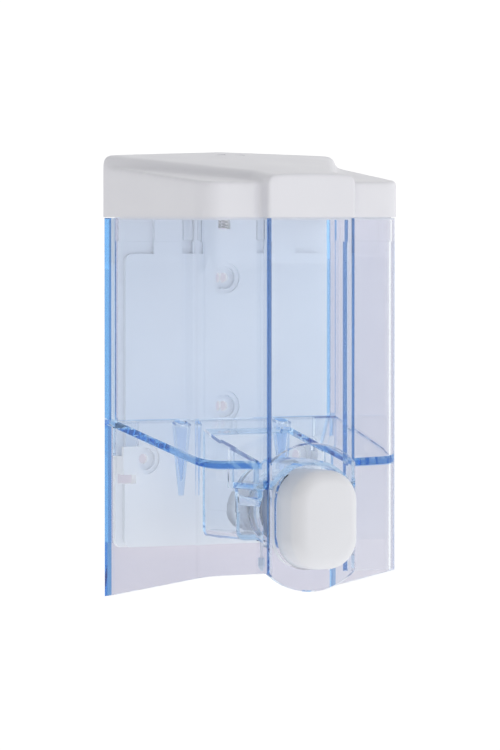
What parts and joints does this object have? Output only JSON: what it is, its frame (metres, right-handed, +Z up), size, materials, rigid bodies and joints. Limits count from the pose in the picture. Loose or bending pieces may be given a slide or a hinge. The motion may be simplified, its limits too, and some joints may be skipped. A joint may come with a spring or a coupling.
{
  "type": "wall mounted soap dispenser",
  "caption": "Wall mounted liquid soap dispenser with a clear tank, a white lift-off lid, a wall plate and a push button piston pump.",
  "frame": {"origin": "middle of the wall plate's back face, on the wall, 92 mm above the lowest edge of the tank's skirt", "axes": "+X to the right seen from the front, +Y into the wall, +Z up"},
  "size_m": [0.11, 0.0893, 0.1817],
  "materials": {
    "plate_plastic": "fine satin, white",
    "white_plastic": "satin white",
    "lid_plastic": "finely textured satin, white",
    "button_plastic": "smooth satin, white",
    "tank_clear": "clear plastic with a pale blue tint, polished",
    "pump_milky": "milky translucent plastic",
    "seal_rubber": "matt black rubber",
    "seal_blue": "matt dark blue rubber",
    "silicone": "soft translucent silicone",
    "spring_steel": "bright stainless wire"
  },
  "bodies": {
    "wall_plate": {"wall_plate": "plate_plastic", "latch_spring": "spring_steel"},
    "latch": {"lock_latch": "white_plastic"},
    "tank": {"tank": "tank_clear", "pump_body": "pump_milky", "pump_gasket": "silicone", "pump_nut": "pump_milky", "pump_cap": "pump_milky", "rod_seal": "seal_rubber", "inlet_seat": "white_plastic", "nozzle": "pump_milky", "outlet_seal": "seal_blue", "outlet_valve": "silicone", "return_spring": "spring_steel"},
    "lid": {"lid": "lid_plastic"},
    "button": {"button": "button_plastic", "push_rod": "white_plastic", "piston": "white_plastic", "piston_seal": "seal_rubber"},
    "ball": {"inlet_ball": "spring_steel"}
  },
  "joints": [
    {"name": "latch_press", "type": "slide", "parent": "wall_plate", "child": "latch", "axis": [0, 0, -1], "range_m": [0, 0.0022], "stiffness_N_per_m": 300, "springref_m": -0.001, "deforming": ["latch_spring"]},
    {"name": "tank_lift", "type": "slide", "parent": "wall_plate", "child": "tank", "axis": [0, 0, 1], "range_m": [0, 0.005]},
    {"name": "lid_lift", "type": "slide", "parent": "tank", "child": "lid", "axis": [0, 0, 1], "range_m": [0, 0.045]},
    {"name": "button_press", "type": "slide", "parent": "tank", "child": "button", "axis": [0, 1, 0], "range_m": [0, 0.008], "stiffness_N_per_m": 600, "springref_m": -0.004, "deforming": ["return_spring"]},
    {"name": "ball_lift", "type": "slide", "parent": "tank", "child": "ball", "axis": [0, 0, 1], "range_m": [0, 0.002]}
  ]
}
